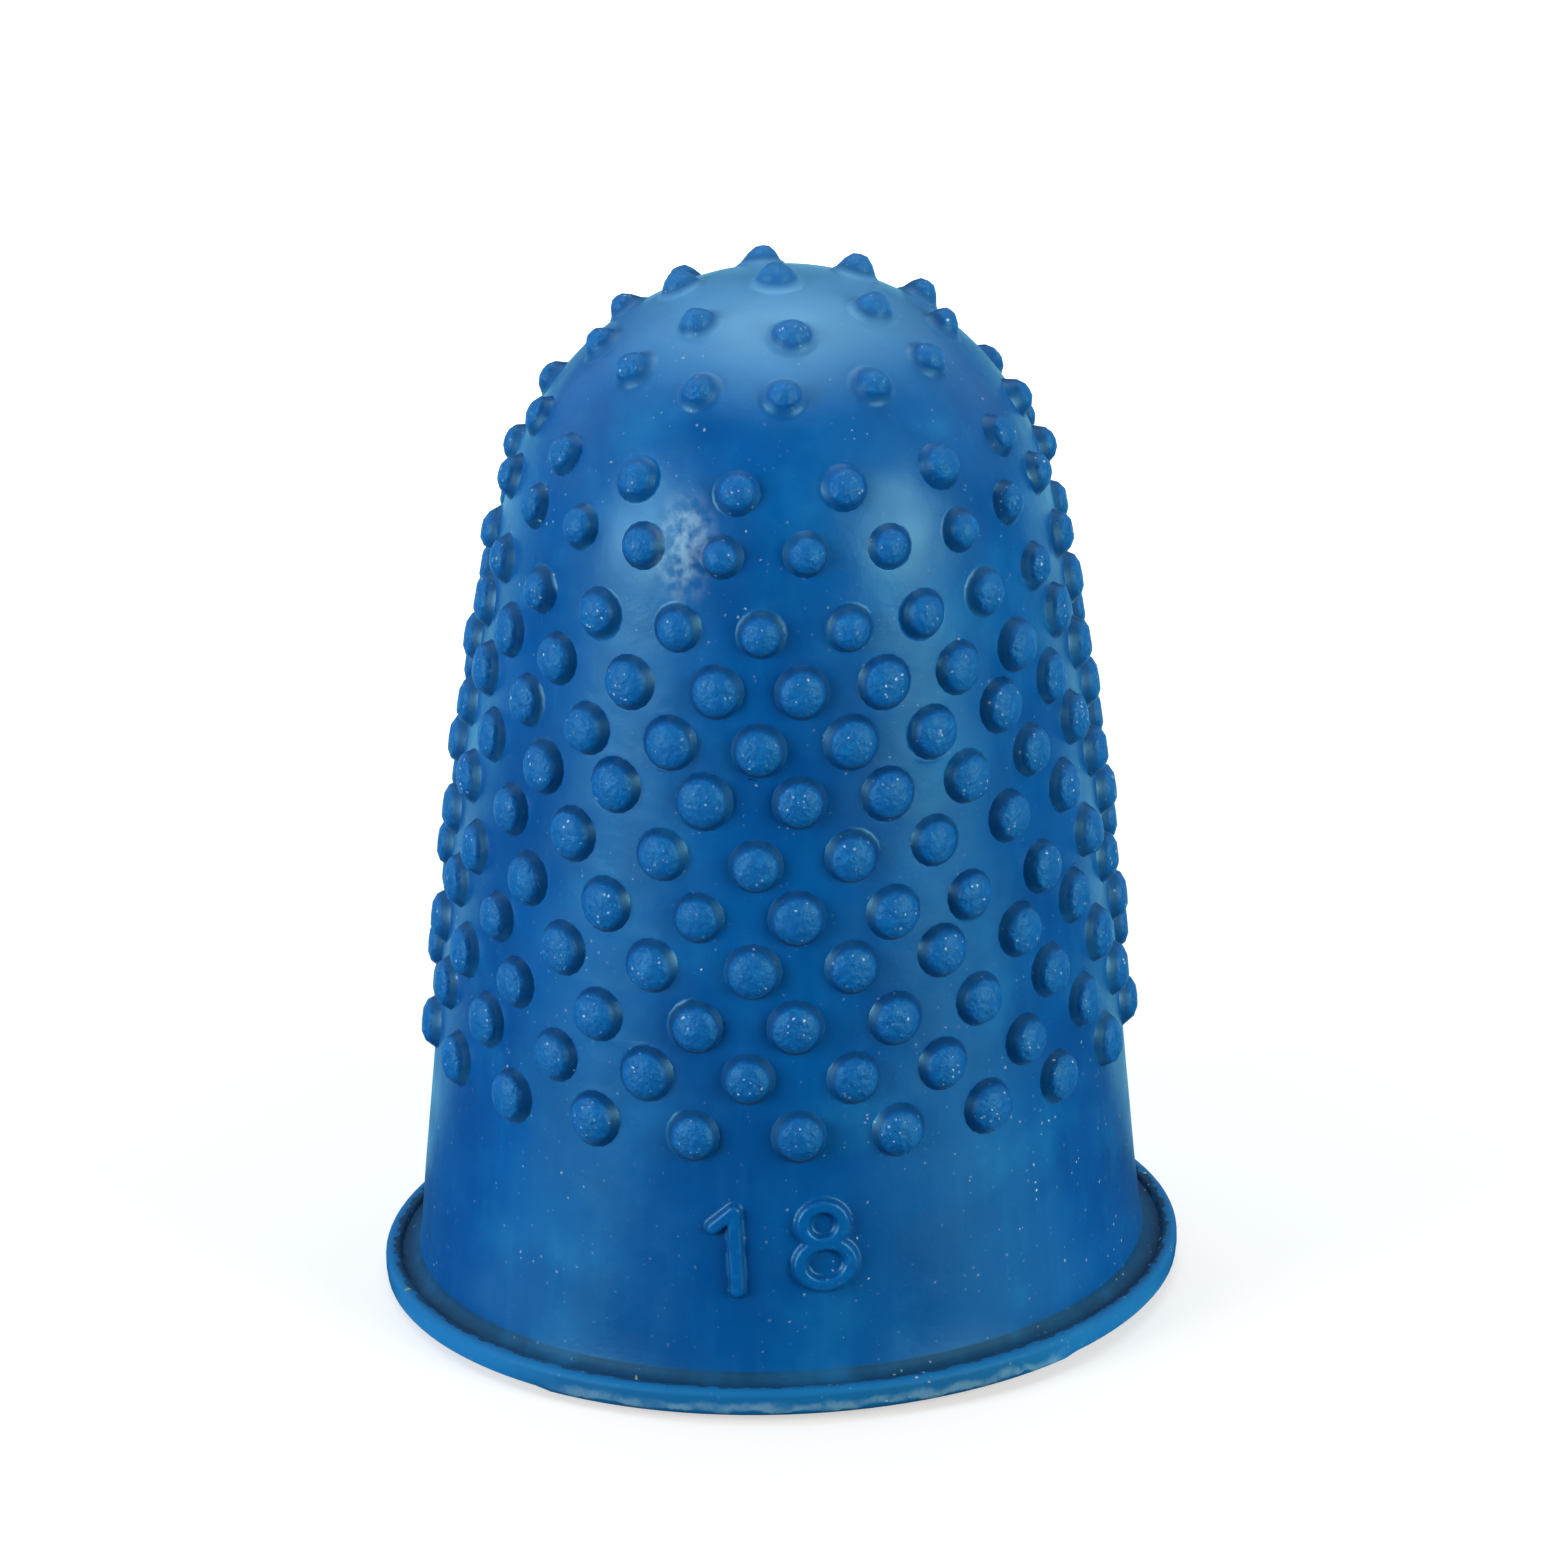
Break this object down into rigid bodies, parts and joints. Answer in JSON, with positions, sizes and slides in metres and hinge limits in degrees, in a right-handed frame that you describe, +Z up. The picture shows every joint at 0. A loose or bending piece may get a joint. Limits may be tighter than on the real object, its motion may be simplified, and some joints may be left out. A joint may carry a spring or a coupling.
{
  "type": "rubber finger tip",
  "caption": "Hollow moulded rubber finger tip with a closed round crown, staggered rings of grip nubs, and a stiff flanged rim round its open mouth.",
  "frame": {"origin": "middle of the flat underside of the rim, where the finger tip stands with its mouth down", "axes": "+Z up the axis towards the closed crown, -Y towards the side that faces the camera, +X to its right"},
  "size_m": [0.022, 0.022, 0.0299],
  "materials": {
    "rubber": "matte"
  },
  "bodies": {
    "root": {"finger_tip": "rubber"}
  },
  "joints": []
}
